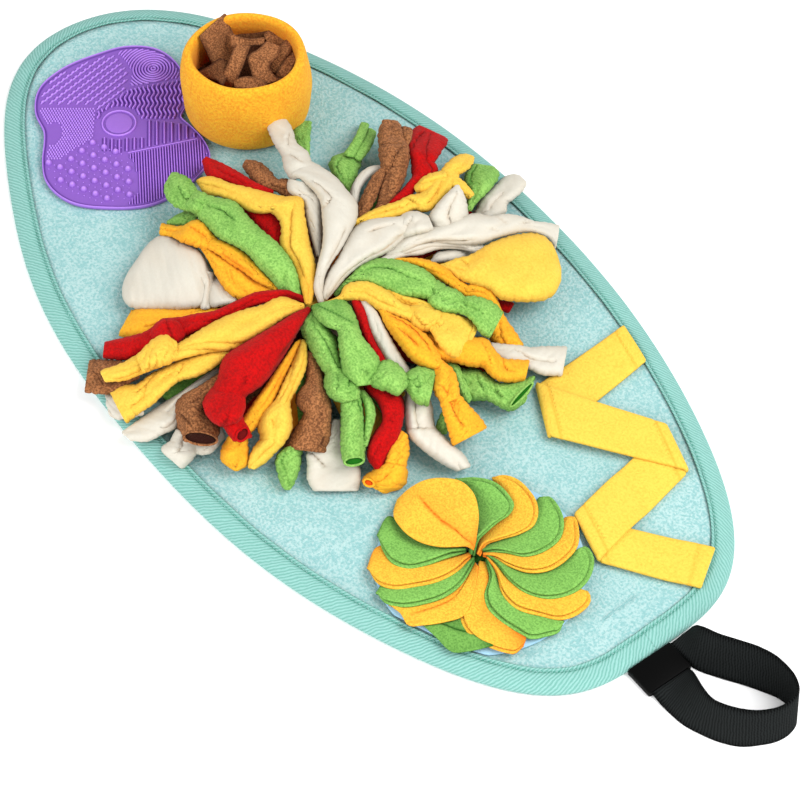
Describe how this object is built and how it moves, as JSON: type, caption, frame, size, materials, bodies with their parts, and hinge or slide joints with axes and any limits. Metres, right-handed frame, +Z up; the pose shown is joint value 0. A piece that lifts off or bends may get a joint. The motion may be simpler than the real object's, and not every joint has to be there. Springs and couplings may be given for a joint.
{
  "type": "snuffle mat",
  "caption": "Oval fleece snuffle mat with a bound edge, lick pad, fleece cup of strips, knotted pompom, zigzag ribbon, pinwheel flower and a strap loop.",
  "frame": {"origin": "middle of the mat on its flat underside", "axes": "+X along the mat's long axis towards the strap, +Y across it, +Z up"},
  "size_m": [0.7962, 0.3521, 0.0871],
  "materials": {
    "aqua_fleece": "short matt pile",
    "teal_tape": "diagonal twill",
    "purple_silicone": "satin moulded silicone",
    "orange_fleece": "thick matt pile",
    "brown_fleece": "matt pile",
    "mixed_fleece": "matt pile in red, yellow, orange, green, cream and brown",
    "yellow_fleece": "matt pile",
    "blue_felt": "matt felt",
    "orange_felt": "matt felt",
    "green_felt": "matt felt",
    "black_webbing": "ribbed elastic weave",
    "black_plastic": "satin moulding"
  },
  "bodies": {
    "root": {"binding": "teal_tape", "cup": "orange_fleece", "cup_strip_back": "brown_fleece", "cup_strip_back_right": "brown_fleece", "cup_strip_curl": "brown_fleece", "cup_strip_flap": "brown_fleece", "cup_strip_front": "brown_fleece", "cup_strip_narrow": "brown_fleece", "cup_strip_side": "brown_fleece", "cup_strip_slant": "brown_fleece", "cup_strip_wedge": "brown_fleece", "cup_strip_wide": "brown_fleece", "flower_base": "blue_felt", "keeper": "black_plastic", "lick_pad": "purple_silicone", "mat_panel": "aqua_fleece", "petal_01": "orange_felt", "petal_02": "green_felt", "petal_03": "orange_felt", "petal_04": "green_felt", "petal_05": "orange_felt", "petal_06": "green_felt", "petal_07": "orange_felt", "petal_08": "green_felt", "petal_09": "orange_felt", "petal_10": "green_felt", "petal_11": "orange_felt", "petal_12": "green_felt", "petal_13": "orange_felt", "petal_14": "green_felt", "petal_15": "orange_felt", "petal_leaf": "orange_felt", "pompom": "mixed_fleece", "strap": "black_webbing", "zigzag_ribbon": "yellow_fleece"}
  },
  "joints": []
}
